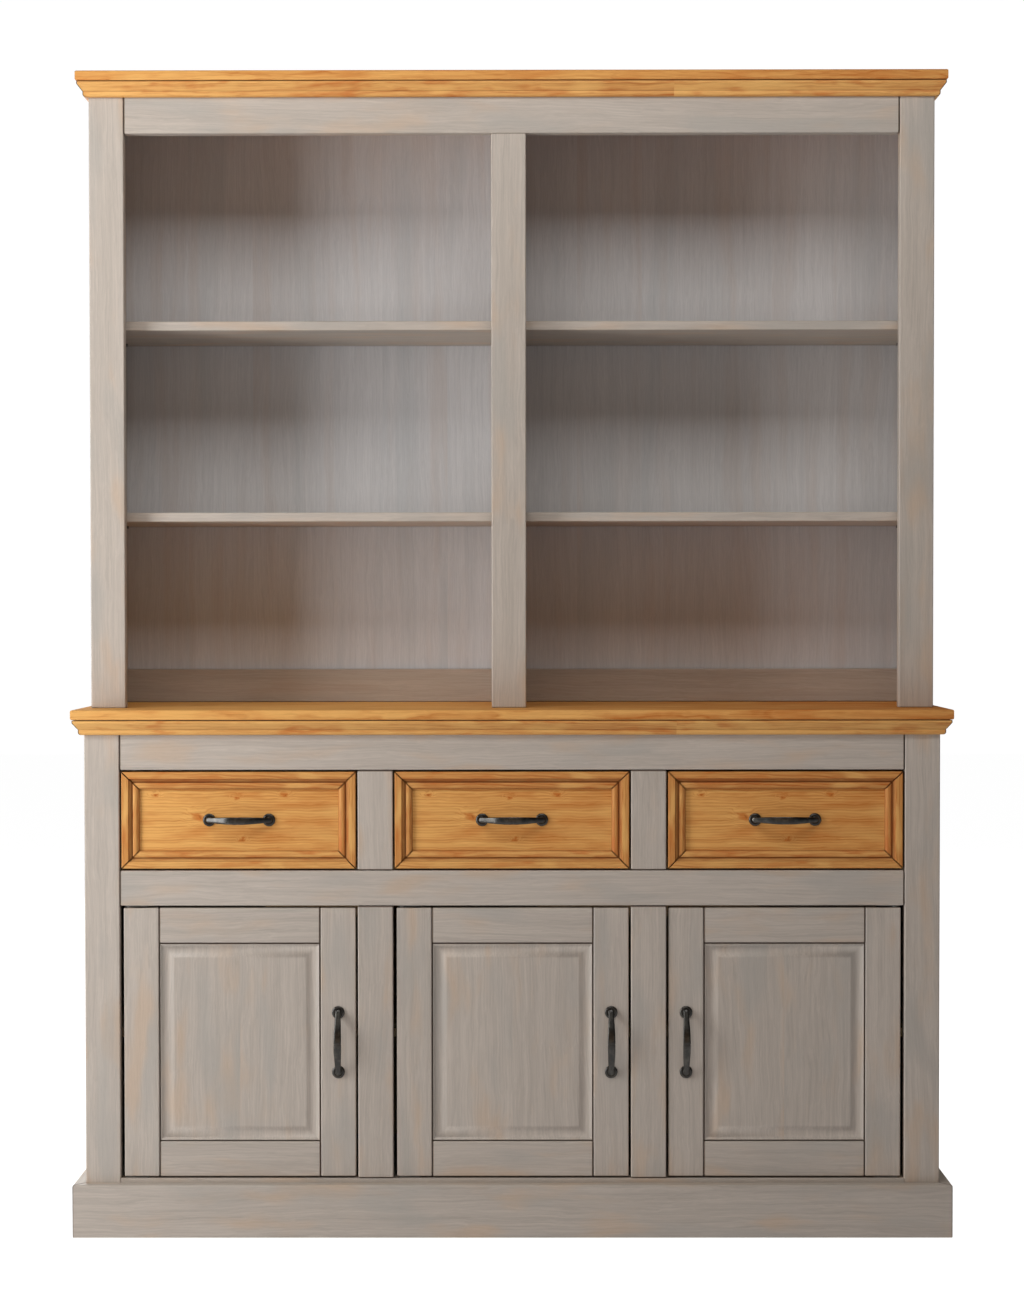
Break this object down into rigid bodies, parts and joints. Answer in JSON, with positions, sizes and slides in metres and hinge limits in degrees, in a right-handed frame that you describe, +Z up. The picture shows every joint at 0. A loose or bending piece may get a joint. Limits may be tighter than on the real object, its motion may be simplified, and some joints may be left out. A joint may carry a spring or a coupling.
{
  "type": "buffet with open hutch",
  "caption": "Wooden buffet: an open shelved hutch with a cornice over a base with moulded drawers, framed doors, iron pull handles and a plinth.",
  "frame": {"origin": "centre of the footprint's bounding box, on the floor", "axes": "+X to the right as seen from the front, +Y to the back, +Z up; the front faces -Y"},
  "size_m": [1.5, 0.4044, 1.997],
  "materials": {
    "grey_wood": "grey-brown stained pine, matt, with eased and slightly worn edges",
    "honey_wood": "waxed honey-coloured pine with visible grain and small knots",
    "raw_wood": "unfinished planed pine inside the base",
    "black_iron": "black waxed iron, satin",
    "bright_steel": "plain zinc-plated steel"
  },
  "bodies": {
    "cabinet": {"base_sides": "grey_wood", "base_posts": "grey_wood", "base_top_rail": "grey_wood", "base_mid_rail": "grey_wood", "drawer_muntins": "grey_wood", "door_muntins": "grey_wood", "bottom_board": "grey_wood", "base_partitions": "raw_wood", "base_back": "raw_wood", "drawer_runners": "raw_wood", "drawer_guides": "raw_wood", "drawer_kickers": "raw_wood", "door_stops": "raw_wood", "catch_magnets": "bright_steel", "cupboard_shelves": "raw_wood", "shelf_pins": "bright_steel", "plinth_front": "grey_wood", "plinth_sides": "grey_wood", "plinth_back": "raw_wood", "counter_top": "honey_wood", "counter_moulding": "honey_wood", "hutch_sides": "grey_wood", "hutch_posts": "grey_wood", "hutch_top_rail": "grey_wood", "hutch_divider": "grey_wood", "hutch_back": "grey_wood", "hutch_back_rails": "grey_wood", "hutch_shelves": "grey_wood", "cornice_top": "honey_wood", "cornice_moulding": "honey_wood", "hutch_dowels": "raw_wood", "frame_pivots": "bright_steel", "pivot_screws": "bright_steel"},
    "drawer_left": {"drawer_left_front": "honey_wood", "drawer_left_trim": "honey_wood", "drawer_left_box": "raw_wood", "drawer_left_bottom": "raw_wood", "drawer_left_handle": "black_iron"},
    "drawer_centre": {"drawer_centre_front": "honey_wood", "drawer_centre_trim": "honey_wood", "drawer_centre_box": "raw_wood", "drawer_centre_bottom": "raw_wood", "drawer_centre_handle": "black_iron"},
    "drawer_right": {"drawer_right_front": "honey_wood", "drawer_right_trim": "honey_wood", "drawer_right_box": "raw_wood", "drawer_right_bottom": "raw_wood", "drawer_right_handle": "black_iron"},
    "door_left": {"door_left_frame": "grey_wood", "door_left_panel": "grey_wood", "door_left_handle": "black_iron", "door_left_fittings": "bright_steel"},
    "door_centre": {"door_centre_frame": "grey_wood", "door_centre_panel": "grey_wood", "door_centre_handle": "black_iron", "door_centre_fittings": "bright_steel"},
    "door_right": {"door_right_frame": "grey_wood", "door_right_panel": "grey_wood", "door_right_handle": "black_iron", "door_right_fittings": "bright_steel"}
  },
  "joints": [
    {"name": "drawer_left_slide", "type": "slide", "parent": "cabinet", "child": "drawer_left", "axis": [0, -1, 0], "range_m": [0, 0.24]},
    {"name": "drawer_centre_slide", "type": "slide", "parent": "cabinet", "child": "drawer_centre", "axis": [0, -1, 0], "range_m": [0, 0.24]},
    {"name": "drawer_right_slide", "type": "slide", "parent": "cabinet", "child": "drawer_right", "axis": [0, -1, 0], "range_m": [0, 0.24]},
    {"name": "door_left_hinge", "type": "hinge", "parent": "cabinet", "child": "door_left", "pos_m": [-0.655, -0.16515, 0.3305], "axis": [0, 0, -1], "range_deg": [0, 105]},
    {"name": "door_centre_hinge", "type": "hinge", "parent": "cabinet", "child": "door_centre", "pos_m": [-0.18833, -0.16515, 0.3305], "axis": [0, 0, -1], "range_deg": [0, 105]},
    {"name": "door_right_hinge", "type": "hinge", "parent": "cabinet", "child": "door_right", "pos_m": [0.655, -0.16515, 0.3305], "axis": [0, 0, 1], "range_deg": [0, 105]}
  ]
}
